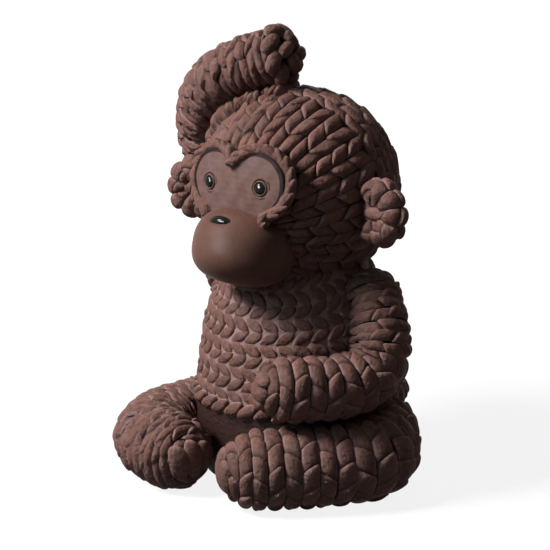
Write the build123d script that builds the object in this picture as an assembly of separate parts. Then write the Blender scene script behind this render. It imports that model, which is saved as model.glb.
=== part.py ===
from build123d import *
from math import cos, degrees, radians, sin
import os

# Seated monkey ornament, slip-cast in hollow pieces that are luted together. Sizes in millimetres.
# +Z is up, the monkey faces -Y, its left side is +X, and the origin is on the ground below the torso.

# Casting
WALL = 4.0
LUTE_GAP = 0.2
SPIGOT_RADIUS = 4.5
SPIGOT_PAST_WALL = 2.0
VENT_RADIUS = 2.0

# Torso
TORSO_HEIGHT = 68.0
FOOT_RADIUS = 33.0
BELLY_RADIUS = 36.0
BELLY_HEIGHT = 20.0
WAIST_RADIUS = 33.8
WAIST_DROP = 24.0
CHEST_RADIUS = 30.3
CHEST_DROP = 8.0
NECK_RADIUS = 25.0
FOOT_VENT_RADIUS = 5.0
FOOT_VENT_BACK = 16.0

# Head
HEAD_RADIUS = 33.8
HEAD_SINK = 5.0
NECK_SPIGOT_RADIUS = 9.0
NECK_SPIGOT_WALL = 3.0

# Relief: rounded rows of leaves, level round the torso, back from the face like a mane and in rings behind it
ROW_WIDTH = 4.8
ROW_RELIEF = 1.1
MANE_ROWS = 42
MANE_TILT = 15.0
MANE_STATIONS = (14.0, 32.0, 50.0, 70.0, 93.0)
MANE_FADE_RADIUS = 22.0
BACK_END = 173.0

# Mask
LOBE_RADIUS = 8.8
LOBE_SPREAD = 8.6
LOBE_RISE = 6.0
BRIDGE_RADIUS = 10.0
BRIDGE_DROP = 3.0
MASK_CURVE_RADIUS = 70.0
MASK_PROUD = 2.4
MASK_BED = 1.5
RIM_WIDTH = 3.2
RIM_HEIGHT = 5.2

# Eyes
EYE_RADIUS = 2.7
EYE_PROUD = 1.3
EYE_SPREAD = 10.5
EYE_RISE = 5.1

# Muzzle and nose
MUZZLE_RADIUS = 16.8
MUZZLE_RISE = 19.5
MUZZLE_DROP = 7.5
MUZZLE_FULLNESS = 2.5
MUZZLE_TILT = 24.0
MUZZLE_SINK = 3.6
MUZZLE_LIFT = 13.8
MUZZLE_WALL = 3.0
NOSE_HALF_WIDTH = 3.5
NOSE_RADIUS = 1.5
NOSE_SLOPE = 25.0
NOSE_PROUD = 0.5

# Ears
EAR_TURN = 78.0
EAR_DROP = 3.2
EAR_RING_RADIUS = 6.4
EAR_ROPE_RADIUS = 4.8
EAR_STANDOFF = 6.9
EAR_PEG_RADIUS = 2.0
EAR_PEG_LENGTH = 5.0

# Arms: each route point is the turn from the front, the rise or height, and the standoff from the form it follows
ARM_RADIUS = 10.2
SHOULDER_TURN = 91.0
SHOULDER_DROP = 5.5
SHOULDER_STANDOFF = 1.0
RESTING_HAND_RADIUS = 10.8
UPPER_ARM_TURN = 84.0
UPPER_ARM_STANDOFF = 4.0
ELBOW_BEND = 14.0
ELBOW_SHARE = 0.58
HAND_TURN = 33.0
HAND_STANDOFF = 8.0
RAISED_HAND_RADIUS = 9.8
RAISED_ROUTE = (
    (107.0, -12.0, 13.0),
    (101.0, 8.0, 15.4),
    (90.0, 29.0, 14.2),
    (77.0, 52.0, 12.0),
)
RAISED_HAND_TURN = 62.0
RAISED_HAND_RISE = 76.5

# Legs: each route point is the turn from the front, the standoff from the torso foot and the lift off the ground
LEG_RADIUS = 14.0
SOLE_RADIUS = 13.2
LEG_FLAT = 0.8
LEFT_LEG_ROUTE = (
    (98.0, -3.0, 3.0),
    (76.0, 7.5, 0.5),
    (47.0, 9.0, 0.0),
    (22.0, 13.5, 0.0),
)
RIGHT_LEG_ROUTE = (
    (96.0, -5.0, 2.0),
    (70.0, 5.0, 0.0),
    (38.0, 18.0, 0.0),
    (21.0, 16.0, 0.0),
)

LEFT = 1
RIGHT = -1
SHOULDER_HEIGHT = TORSO_HEIGHT - SHOULDER_DROP
HEAD_CENTRE = Vector(0, 0, TORSO_HEIGHT - HEAD_SINK + HEAD_RADIUS)
TORSO_STATIONS = (
    (0.0, FOOT_RADIUS),
    (BELLY_HEIGHT, BELLY_RADIUS),
    (TORSO_HEIGHT - WAIST_DROP, WAIST_RADIUS),
    (TORSO_HEIGHT - CHEST_DROP, CHEST_RADIUS),
    (TORSO_HEIGHT, NECK_RADIUS),
)


def torso_radius(height):
    for (low, low_radius), (high, high_radius) in zip(TORSO_STATIONS, TORSO_STATIONS[1:]):
        if height <= high:
            share = (height - low) / (high - low)
            return low_radius + share * (high_radius - low_radius)
    return NECK_RADIUS


def torso_form(inset, bottom, top):
    heights = [bottom] + [z for z, radius in TORSO_STATIONS if bottom < z < top] + [top]
    return loft([Pos(0, 0, z) * Circle(torso_radius(z) - inset) for z in heights])


def ball(radius):
    return Pos(*HEAD_CENTRE) * Sphere(radius)


def beside_torso(side, turn, standoff, height):
    reach = torso_radius(height) + standoff
    return Vector(side * reach * sin(radians(turn)), -reach * cos(radians(turn)), height)


def around_head(side, turn, rise, standoff):
    reach = HEAD_RADIUS + standoff
    flat = reach * cos(radians(rise))
    return HEAD_CENTRE + Vector(
        side * flat * sin(radians(turn)),
        -flat * cos(radians(turn)),
        reach * sin(radians(rise)),
    )


def rod(start, end, radius):
    middle = (start + end) * 0.5
    return Plane(origin=middle, z_dir=end - start) * Cylinder(radius, (end - start).length)


def limb(points, root_radius, tip_radius, inset, across):
    path = Spline(*points)
    sections = []

    def ring(where, along, radius):
        sections.append(Plane(origin=where, x_dir=across, z_dir=along) * Circle(radius))

    root = root_radius - inset
    tip = tip_radius - inset
    for angle in (72, 48, 24):
        ring(path @ 0 - (path % 0) * root * sin(radians(angle)), path % 0, root * cos(radians(angle)))
    steps = 8
    for step in range(steps + 1):
        share = step / steps
        ring(path @ share, path % share, root + (tip - root) * share)
    for angle in (24, 48, 72):
        ring(path @ 1 + (path % 1) * tip * sin(radians(angle)), path % 1, tip * cos(radians(angle)))
    return loft(sections)


def spigot(side, turn, height, radius):
    outer = beside_torso(side, turn, LUTE_GAP + WALL + VENT_RADIUS, height)
    inner = beside_torso(side, turn, -WALL - SPIGOT_PAST_WALL, height)
    return rod(outer, inner, radius)


def luted_limb(points, root_radius, tip_radius, across, side, turn, height):
    outside = limb(points, root_radius, tip_radius, 0, across)
    inside = limb(points, root_radius, tip_radius, WALL, across)
    seat = torso_form(-LUTE_GAP, 0, TORSO_HEIGHT)
    seat_wall = torso_form(-LUTE_GAP - WALL, 0, TORSO_HEIGHT)
    shell = outside - seat - (inside - seat_wall)
    return shell + spigot(side, turn, height, SPIGOT_RADIUS) - spigot(side, turn, height, VENT_RADIUS)


def on_ground(piece):
    below = Pos(0, 0, -TORSO_HEIGHT) * Box(10 * BELLY_RADIUS, 10 * BELLY_RADIUS, 2 * TORSO_HEIGHT)
    return piece - below


def mask_prism(grow):
    front = Plane(origin=HEAD_CENTRE, x_dir=(1, 0, 0), z_dir=(0, -1, 0))
    outline = Pos(0, -BRIDGE_DROP) * Circle(BRIDGE_RADIUS + grow)
    for side in (LEFT, RIGHT):
        outline += Pos(side * LOBE_SPREAD, LOBE_RISE) * Circle(LOBE_RADIUS + grow)
    return extrude(front * outline, 2 * HEAD_RADIUS)


MASK_CENTRE = HEAD_CENTRE + Vector(0, MASK_CURVE_RADIUS - HEAD_RADIUS - MASK_PROUD, 0)


def mask_ball(grow):
    return Pos(*MASK_CENTRE) * Sphere(MASK_CURVE_RADIUS + grow)


MUZZLE_CENTRE = HEAD_CENTRE + Vector(0, MUZZLE_SINK - HEAD_RADIUS, MUZZLE_LIFT - HEAD_RADIUS)
MUZZLE_PLACE = Pos(*MUZZLE_CENTRE) * Rot(-MUZZLE_TILT, 0, 0)


def muzzle_point(angle, reach, top):
    power = 2 / MUZZLE_FULLNESS
    return reach * cos(radians(angle)) ** power, top * sin(radians(angle)) ** power


def muzzle_form(inset):
    reach = MUZZLE_RADIUS - inset
    rings = []
    for angle in (75, 50, 25):
        low = (MUZZLE_DROP - inset) * sin(radians(angle))
        rings.append(Pos(0, 0, -low) * Circle(reach * cos(radians(angle))))
    for angle in (0, 14, 32, 50, 66, 78):
        radius, height = muzzle_point(angle, reach, MUZZLE_RISE - inset)
        rings.append(Pos(0, 0, height) * Circle(radius))
    return MUZZLE_PLACE * loft(rings)


def nose_form(grow):
    ahead, above = muzzle_point(NOSE_SLOPE, MUZZLE_RADIUS, MUZZLE_RISE)
    ahead_low, above_low = muzzle_point(NOSE_SLOPE / 2, MUZZLE_RADIUS, MUZZLE_RISE)
    ahead_high, above_high = muzzle_point(NOSE_SLOPE * 3 / 2, MUZZLE_RADIUS, MUZZLE_RISE)
    outward = Vector(0, above_low - above_high, ahead_low - ahead_high).normalized()
    centre = Vector(0, -ahead, above) - outward * (NOSE_RADIUS - NOSE_PROUD)
    half_spine = Vector(NOSE_HALF_WIDTH - NOSE_RADIUS, 0, 0)
    left_end = centre + half_spine
    right_end = centre - half_spine
    form = rod(left_end, right_end, NOSE_RADIUS + grow)
    for end in (left_end, right_end):
        form += Pos(*end) * Sphere(NOSE_RADIUS + grow)
    return MUZZLE_PLACE * form


def eye_form(side, grow):
    aim = Vector(side * EYE_SPREAD, 0, EYE_RISE)
    depth = (MASK_CURVE_RADIUS**2 - EYE_SPREAD**2 - EYE_RISE**2) ** 0.5
    outward = Vector(aim.X, -depth, aim.Z).normalized()
    centre = MASK_CENTRE + outward * (MASK_CURVE_RADIUS - EYE_RADIUS + EYE_PROUD)
    return Pos(*centre) * Sphere(EYE_RADIUS + grow)


def ear_frame(side):
    outward = around_head(side, EAR_TURN, 0, 0) - HEAD_CENTRE
    return outward.normalized()


def ear_peg(side, grow):
    outward = ear_frame(side)
    level = HEAD_CENTRE - Vector(0, 0, EAR_DROP)
    reach = (HEAD_RADIUS**2 - EAR_DROP**2) ** 0.5
    outer = level + outward * (reach + EAR_ROPE_RADIUS / 4)
    return rod(outer, outer - outward * EAR_PEG_LENGTH, EAR_PEG_RADIUS + grow)


def ear(side):
    outward = ear_frame(side)
    centre = HEAD_CENTRE + outward * (HEAD_RADIUS + EAR_STANDOFF) - Vector(0, 0, EAR_DROP)
    sideways = outward.cross(Vector(0, 0, 1))
    ring = Plane(origin=centre, z_dir=sideways) * Torus(EAR_RING_RADIUS, EAR_ROPE_RADIUS)
    return ring - ball(HEAD_RADIUS + LUTE_GAP) + ear_peg(side, 0)


def leg_points(side):
    route = LEFT_LEG_ROUTE if side == LEFT else RIGHT_LEG_ROUTE
    points = []
    for index, (turn, standoff, lift) in enumerate(route):
        reach = FOOT_RADIUS + standoff
        radius = LEG_RADIUS + (SOLE_RADIUS - LEG_RADIUS) * index / (len(route) - 1)
        low = radius - LEG_FLAT + lift
        points.append(Vector(side * reach * sin(radians(turn)), -reach * cos(radians(turn)), low))
    return points


def hip_turn(side):
    route = LEFT_LEG_ROUTE if side == LEFT else RIGHT_LEG_ROUTE
    return route[1][0]


def leg_form(side, inset):
    return limb(leg_points(side), LEG_RADIUS, SOLE_RADIUS, inset, (0, 0, 1))


def leg(side):
    points = leg_points(side)
    return on_ground(luted_limb(points, LEG_RADIUS, SOLE_RADIUS, (0, 0, 1), side, hip_turn(side), points[1].Z))


def resting_points():
    rest = 2 * LEG_RADIUS - LEG_FLAT + RESTING_HAND_RADIUS + 2 * LUTE_GAP
    bend_height = ELBOW_SHARE * (SHOULDER_HEIGHT - rest)
    swing = degrees(ELBOW_BEND / (torso_radius(rest) + UPPER_ARM_STANDOFF))
    points = [beside_torso(LEFT, SHOULDER_TURN, SHOULDER_STANDOFF, SHOULDER_HEIGHT)]
    for angle in (0, 45, 90):
        turn = UPPER_ARM_TURN - swing * (1 - cos(radians(angle)))
        height = rest + bend_height * (1 - sin(radians(angle)))
        points.append(beside_torso(LEFT, turn, UPPER_ARM_STANDOFF, height))
    points.append(beside_torso(LEFT, HAND_TURN, HAND_STANDOFF, rest))
    return points


def raised_points():
    shoulder = beside_torso(RIGHT, SHOULDER_TURN, SHOULDER_STANDOFF, SHOULDER_HEIGHT)
    route = [around_head(RIGHT, turn, rise, standoff) for turn, rise, standoff in RAISED_ROUTE]
    hand = around_head(RIGHT, RAISED_HAND_TURN, RAISED_HAND_RISE, RAISED_HAND_RADIUS + 2 * LUTE_GAP)
    return [shoulder] + route + [hand]


def arm(points, hand_radius, side, across):
    piece = luted_limb(points, ARM_RADIUS, hand_radius, across, side, SHOULDER_TURN, SHOULDER_HEIGHT)
    return piece - ball(HEAD_RADIUS + LUTE_GAP) - leg_form(side, -LUTE_GAP)


def torso_rows():
    edges = torso_form(0, 0, TORSO_HEIGHT).edges()
    skin = max(edges, key=lambda edge: abs((edge @ 1).Z - (edge @ 0).Z))
    rows = round(skin.length / ROW_WIDTH)
    inward = Vector(ROW_RELIEF, 0, 0)
    outline = []
    for row in range(rows):
        start, middle, end = (skin @ ((row + share) / rows) for share in (0, 0.5, 1))
        outline.append(ThreePointArc(start - inward, middle, end - inward))
    first = outline[0] @ 0
    last = outline[-1] @ 1
    axis_first = Vector(0, 0, first.Z)
    axis_last = Vector(0, 0, last.Z)
    outline += [Line(last, axis_last), Line(axis_last, axis_first), Line(axis_first, first)]
    seam_behind = Rot(0, 0, 90)
    return seam_behind * revolve(Face(Wire(outline)), Axis.Z)


MANE_WAY = Vector(0, -cos(radians(MANE_TILT)), -sin(radians(MANE_TILT)))
MANE_BROW = Vector(0, -sin(radians(MANE_TILT)), cos(radians(MANE_TILT)))


def polar_point(reach, angle):
    return reach * cos(radians(angle)), reach * sin(radians(angle))


def mane_rows():
    pitch = 360 / MANE_ROWS
    sections = []
    for station in MANE_STATIONS:
        ahead, reach = polar_point(HEAD_RADIUS, station)
        valley = reach - ROW_RELIEF * min(1, reach / MANE_FADE_RADIUS)
        outline = []
        for row in range(MANE_ROWS):
            start = polar_point(valley, row * pitch)
            middle = polar_point(reach, (row + 0.5) * pitch)
            end = polar_point(valley, (row + 1) * pitch)
            outline.append(ThreePointArc(start, middle, end))
        place = Plane(origin=HEAD_CENTRE + MANE_WAY * ahead, x_dir=MANE_BROW, z_dir=MANE_WAY)
        sections.append(place * Face(Wire(outline)))
    return loft(sections)


def back_rows():
    valley = HEAD_RADIUS - ROW_RELIEF
    start = MANE_STATIONS[-1]
    rows = round(radians(BACK_END - start) * HEAD_RADIUS / ROW_WIDTH)
    pitch = (BACK_END - start) / rows
    outline = []
    for row in range(rows):
        low = polar_point(valley, start + row * pitch)
        middle = polar_point(HEAD_RADIUS, start + (row + 0.5) * pitch)
        high = polar_point(valley, start + (row + 1) * pitch)
        outline.append(ThreePointArc(low, middle, high))
    last = outline[-1] @ 1
    crown = (last.X, 0)
    inside = (HEAD_RADIUS / 2, 0)
    outline += [Line(last, crown), Line(crown, inside), Line(inside, outline[0] @ 0)]
    place = Plane(origin=HEAD_CENTRE, x_dir=MANE_WAY, z_dir=MANE_WAY.cross(MANE_BROW))
    return place * revolve(Face(Wire(outline)), Axis.X)


# Torso
cavity_top = TORSO_HEIGHT - HEAD_SINK - WALL
torso_shell = torso_rows() - torso_form(WALL, WALL, cavity_top)
torso_shell -= ball(HEAD_RADIUS + LUTE_GAP)
head_foot = HEAD_CENTRE - Vector(0, 0, HEAD_RADIUS)
spigot_top = head_foot + Vector(0, 0, WALL / 2)
spigot_end = head_foot - Vector(0, 0, WALL + SPIGOT_PAST_WALL)
torso_shell -= rod(spigot_top, spigot_end, NECK_SPIGOT_RADIUS + LUTE_GAP)
torso_shell -= Pos(0, FOOT_VENT_BACK, WALL / 2) * Cylinder(FOOT_VENT_RADIUS, 2 * WALL)
for side in (LEFT, RIGHT):
    torso_shell -= spigot(side, SHOULDER_TURN, SHOULDER_HEIGHT, SPIGOT_RADIUS + LUTE_GAP)
    torso_shell -= spigot(side, hip_turn(side), leg_points(side)[1].Z, SPIGOT_RADIUS + LUTE_GAP)

# Head with the bed for the mask, the ear sockets and the vent behind the muzzle
head_shell = mane_rows() + back_rows() + rod(spigot_top, spigot_end, NECK_SPIGOT_RADIUS)
head_shell -= ball(HEAD_RADIUS - WALL)
head_shell -= rod(spigot_top + Vector(0, 0, WALL), spigot_end, NECK_SPIGOT_RADIUS - NECK_SPIGOT_WALL)
head_shell -= mask_prism(LUTE_GAP) - ball(HEAD_RADIUS - MASK_BED)
muzzle_way = (MUZZLE_CENTRE - HEAD_CENTRE).normalized()
head_shell -= rod(HEAD_CENTRE, HEAD_CENTRE + muzzle_way * (HEAD_RADIUS + LUTE_GAP), VENT_RADIUS)
for side in (LEFT, RIGHT):
    head_shell -= ear_peg(side, LUTE_GAP)
    head_shell -= eye_form(side, LUTE_GAP)

# Muzzle, open at the back where it meets the head and the mask
muzzle_shell = muzzle_form(0) - ball(HEAD_RADIUS + LUTE_GAP)
muzzle_shell -= mask_prism(LUTE_GAP) & mask_ball(LUTE_GAP)
muzzle_shell -= torso_form(-LUTE_GAP, 0, TORSO_HEIGHT)
muzzle_shell -= muzzle_form(MUZZLE_WALL)
muzzle_shell -= nose_form(LUTE_GAP)

# Mask and its rolled border
face_plate = (mask_prism(0) & mask_ball(0)) - ball(HEAD_RADIUS - MASK_BED + LUTE_GAP)
for side in (LEFT, RIGHT):
    face_plate -= eye_form(side, LUTE_GAP)
face_rim = (mask_prism(RIM_WIDTH) - mask_prism(LUTE_GAP)) & ball(HEAD_RADIUS + RIM_HEIGHT)
face_rim = face_rim - ball(HEAD_RADIUS + LUTE_GAP) - muzzle_form(-LUTE_GAP)

PIECES = {
    "torso_shell": torso_shell,
    "head_shell": head_shell,
    "face_plate": face_plate,
    "face_rim": face_rim,
    "muzzle_shell": muzzle_shell,
    "nose": nose_form(0),
    "left_eye": eye_form(LEFT, 0),
    "right_eye": eye_form(RIGHT, 0),
    "left_ear": ear(LEFT),
    "right_ear": ear(RIGHT),
    "raised_arm": arm(raised_points(), RAISED_HAND_RADIUS, RIGHT, (0, 1, 0)),
    "resting_arm": arm(resting_points(), RESTING_HAND_RADIUS, LEFT, (1, 0, 0)),
    "left_leg": leg(LEFT),
    "right_leg": leg(RIGHT),
}

os.makedirs("parts", exist_ok=True)
for name, piece in PIECES.items():
    export_step(piece, f"parts/{name}.step")
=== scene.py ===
import math
from typing import NamedTuple

import bpy
import numpy as np
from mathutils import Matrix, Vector


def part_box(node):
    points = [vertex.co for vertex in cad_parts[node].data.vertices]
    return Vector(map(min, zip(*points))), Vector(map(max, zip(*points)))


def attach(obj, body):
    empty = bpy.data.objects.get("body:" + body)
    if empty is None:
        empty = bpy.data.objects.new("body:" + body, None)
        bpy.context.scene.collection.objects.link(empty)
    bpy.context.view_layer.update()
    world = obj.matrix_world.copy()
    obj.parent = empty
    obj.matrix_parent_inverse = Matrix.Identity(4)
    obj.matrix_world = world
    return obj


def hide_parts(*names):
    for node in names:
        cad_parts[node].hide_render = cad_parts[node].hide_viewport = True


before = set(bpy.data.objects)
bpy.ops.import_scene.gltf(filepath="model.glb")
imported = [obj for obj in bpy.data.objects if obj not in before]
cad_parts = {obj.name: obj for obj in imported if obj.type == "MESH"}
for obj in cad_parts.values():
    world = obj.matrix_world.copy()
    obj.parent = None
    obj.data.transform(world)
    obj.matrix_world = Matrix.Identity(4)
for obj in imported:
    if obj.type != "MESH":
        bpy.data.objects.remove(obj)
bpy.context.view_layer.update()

bl_info = {
    "name": "Seated Monkey Ornament",
    "version": (1, 0, 0),
    "blender": (4, 5, 0),
    "location": "View3D > Sidebar > Ornament",
    "description": "Dresses a hollow ceramic monkey in its leaf-stitch relief and its glazes",
    "category": "Object",
}

# Shapes are worked out in millimetres and written to meshes in metres
MM = 0.001
LEFT = 1
RIGHT = -1
UP = np.array([0.0, 0.0, 1.0])
FRONT = np.array([0.0, -1.0, 0.0])
ASIDE = np.array([1.0, 0.0, 0.0])

# Places that the pieces share, from the frame
HEAD_LOW, HEAD_HIGH = (np.array(corner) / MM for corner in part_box("head_shell"))
HEAD_RADIUS = (HEAD_HIGH[0] - HEAD_LOW[0]) / 2
HEAD_CENTRE = np.array([0.0, 0.0, HEAD_HIGH[2] - HEAD_RADIUS])
TORSO_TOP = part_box("torso_shell")[1].z / MM

# Limb routes from root to tip. A stop is a turn from the front in degrees, a reach from the upright axis
# and a height
LEFT_LEG_STOPS = ((98, 30.0, 16.2), (76, 40.5, 13.4), (47, 42.0, 12.7), (22, 46.5, 12.4))
RIGHT_LEG_STOPS = ((96, 28.0, 15.2), (70, 38.0, 12.9), (38, 51.0, 12.7), (21, 49.0, 12.4))
SHOULDER_STOP = (91, 29.6, 62.5)
RESTING_ARM_STOPS = (SHOULDER_STOP, (84, 36.0, 52.4), (78, 38.0, 42.5), (63, 38.4, 38.4), (33, 42.3, 38.4))

# The raised arm goes round the head. A stop is a turn and a rise in degrees, and a distance from its skin
RAISED_ARM_STOPS = ((107, -12, 13.0), (101, 8, 15.4), (90, 29, 14.2), (77, 52, 12.0), (62, 76.5, 10.2))

# Radius of each limb at its root and at its tip
LEG_RADII = (14.0, 13.2)
RESTING_ARM_RADII = (10.2, 10.8)
RAISED_ARM_RADII = (10.2, 9.8)

# Mask outline: a round bridge and two round lobes, each with its offsets from the middle of the head
LOBE_SPREAD = 8.6
LOBE_RISE = 6.0
LOBE_RADIUS = 8.8
BRIDGE_DROP = 3.0
BRIDGE_RADIUS = 10.0
MASK_CIRCLES = (
    (0.0, -BRIDGE_DROP, BRIDGE_RADIUS),
    (LOBE_SPREAD, LOBE_RISE, LOBE_RADIUS),
    (-LOBE_SPREAD, LOBE_RISE, LOBE_RADIUS),
)
MASK_CURVE = 70.0
MASK_PROUD = 1.3
MASK_BACK = MASK_CURVE - HEAD_RADIUS - MASK_PROUD
MASK_HUB = np.array([0.0, 2.0])
EYE_SPREAD = 10.5
EYE_RISE = 5.1

# Muzzle: a full round form that leans back over the chin
MUZZLE_RADIUS = 16.8
MUZZLE_RISE = 13.6
MUZZLE_DROP = 11.8
MUZZLE_FULLNESS = 2.4
CHIN_FULLNESS = 2.5
MUZZLE_TILT = math.radians(15.0)
TILT_COS = math.cos(MUZZLE_TILT)
TILT_SIN = math.sin(MUZZLE_TILT)
MUZZLE_CENTRE = np.array([0.0, -29.8, 80.2])
NOSE_SLOPE = math.radians(33.0)

# How much single leaves differ from the rule: shares of their size, height and shear, and a slope
SIZE_PLAY = 0.05
HEIGHT_PLAY = 0.12
SHEAR_PLAY = 0.2
SLANT_PLAY = 0.04

# A leaf is left out where its middle lies deeper than this in another piece
SUNK = 2.0
LIMB_SUNK = 1.2

# How far leaves stand out from the skin, and their length and half width as shares of pitch and column
PROUD = 0.3
LIMB_PROUD = 0.4
LAP = 1.06
COLUMN_HALF = 0.515

# The bare form under the leaves: how strongly shade is painted on it, its unevenness and the step between its
# rows
CORE_SHADE_PAINT = 1.3
CORE_RIPPLE = 0.15
CORE_STEP = 1.5

# Caps of limbs. A ring of the swirl is an angle from the tip, a count of leaves, and their twist, length and
# half width. Lengths and half widths are shares of the tip's radius
SWIRL_RINGS = ((56.0, 8, 40.0, 0.9, 0.25), (24.0, 4, 35.0, 0.8, 0.24))
STRIP_ANGLES = (-24.0, 0.0, 24.0)
STRIP_LENGTHS = (0.95, 1.25, 0.95)
STRIP_HALF_WIDTH = 0.27


def level_stops(side, stops):
    """Places of stops that are given about the upright axis."""
    return [
        (side * reach * math.sin(math.radians(turn)), -reach * math.cos(math.radians(turn)), height)
        for turn, reach, height in stops
    ]


def head_stops(side, stops):
    """Places of stops that are given about the middle of the head."""
    level = []
    for turn, rise, away in stops:
        reach = HEAD_RADIUS + away
        level.append((turn, reach * math.cos(math.radians(rise)), reach * math.sin(math.radians(rise))))
    return [tuple(HEAD_CENTRE + np.array(place)) for place in level_stops(side, level)]


def smooth_line(points, count=400):
    """A smooth curve through the points, as evenly spaced positions."""
    points = np.array(points, float)
    chord = lengths_along(points)
    gap = np.diff(chord)[:, None]
    system = np.eye(len(points))
    bend = np.zeros_like(points)
    slope = np.diff(points, axis=0) / gap
    for i in range(1, len(points) - 1):
        system[i, i - 1 : i + 2] = gap[i - 1, 0], 2 * (gap[i - 1, 0] + gap[i, 0]), gap[i, 0]
        bend[i] = 6 * (slope[i] - slope[i - 1])
    bend = np.linalg.solve(system, bend)
    along = np.linspace(0, chord[-1], count)
    k = np.clip(np.searchsorted(chord, along) - 1, 0, len(points) - 2)
    ahead = ((along - chord[k])[:, None]) / gap[k]
    behind = 1 - ahead
    line = behind * points[k] + ahead * points[k + 1]
    line += ((behind**3 - behind) * bend[k] + (ahead**3 - ahead) * bend[k + 1]) * gap[k] ** 2 / 6
    reach = lengths_along(line)
    even = np.linspace(0, reach[-1], count)
    return np.stack([np.interp(even, reach, line[:, axis]) for axis in range(3)], 1)


def lengths_along(points):
    """Length of a line of points from its start to each point."""
    return np.r_[0, np.cumsum(np.linalg.norm(np.diff(points, axis=0), axis=1))]


def unit(vectors):
    """The vectors at length one."""
    return vectors / np.linalg.norm(vectors, axis=-1, keepdims=True)


def round_turns(count, shift=0.0):
    """Evenly spaced turns round a circle, shifted by a share of the space between them."""
    return 2 * np.pi * (np.arange(count) + shift) / count


def crossed(rows, columns):
    """Every row value with every column value, as two tables."""
    return np.meshgrid(rows, columns, indexing="ij")


def ball_angles(rows, sides, margin=2):
    """Angles from a pole and turns about it that cover a ball, but for a margin in degrees at both poles."""
    return crossed(np.radians(np.linspace(margin, 180 - margin, rows)), round_turns(sides))


def compass(turn):
    """Level offsets of length one at each turn."""
    return np.stack([np.cos(turn), np.sin(turn)], -1)


def swing(turn, first, second):
    """What lies at a turn from the first axis towards the second."""
    return np.cos(turn)[..., None] * first + np.sin(turn)[..., None] * second


def axes_from(outward, ahead):
    """Places on a ball from their outward axis and the one ahead."""
    return np.stack([outward, ahead, np.cross(outward, ahead)], -2)


def row_way(row):
    """The way in which a row leans: 1 for odd rows and -1 for even ones."""
    return 1 if row % 2 else -1


def band_quads(index, ahead):
    """Faces between rows of points, from each point and the one ahead of it in its row."""
    return np.stack([index[:-1], ahead[:-1], ahead[1:], index[1:]], -1).reshape(-1, 4)


def cap_tris(point, first, second):
    """Faces that close a row of points over one end point."""
    return np.stack([np.full(len(first), point), first, second], -1)


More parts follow.
